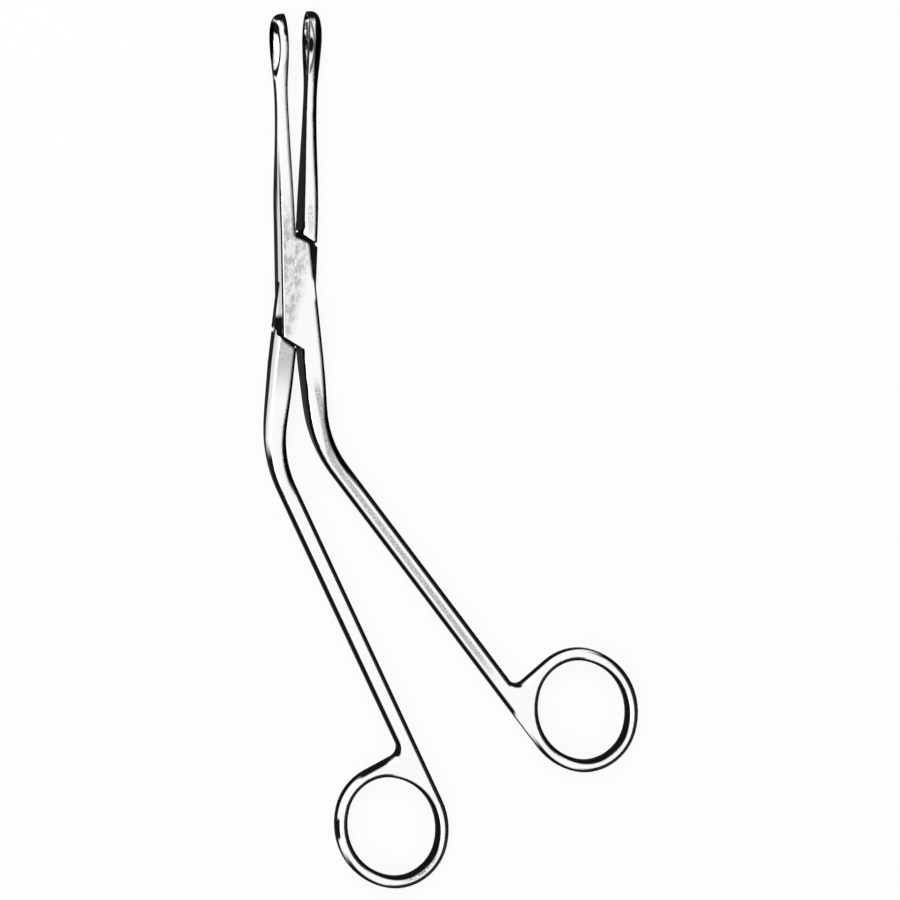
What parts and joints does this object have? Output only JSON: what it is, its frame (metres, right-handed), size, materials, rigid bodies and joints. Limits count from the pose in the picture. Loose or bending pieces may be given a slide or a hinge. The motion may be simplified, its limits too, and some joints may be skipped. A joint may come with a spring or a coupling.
{
  "type": "tonsil forceps",
  "caption": "Ring-handled tonsil forceps with a box joint, angled shanks and fenestrated cup jaws.",
  "frame": {"origin": "where the pivot axis meets the flat back face of the box joint", "axes": "+Z along the pivot axis, from the back face to the front; +Y from the pivot to the jaws; +X towards the side that the shanks bend to"},
  "size_m": [0.0874, 0.2019, 0.0054],
  "materials": {
    "instrument_steel": "mirror polished, satin on the box joint's faces",
    "pin_steel": "ground flush with the joint's faces, satin"
  },
  "bodies": {
    "female_side": {"female_half": "instrument_steel", "pivot_pin": "pin_steel"},
    "male_side": {"male_half": "instrument_steel"}
  },
  "joints": [
    {"name": "jaw_pivot", "type": "hinge", "parent": "female_side", "child": "male_side", "pos_m": [0, 0, 0], "axis": [0, 0, -1], "range_deg": [-4.8, 20]}
  ]
}
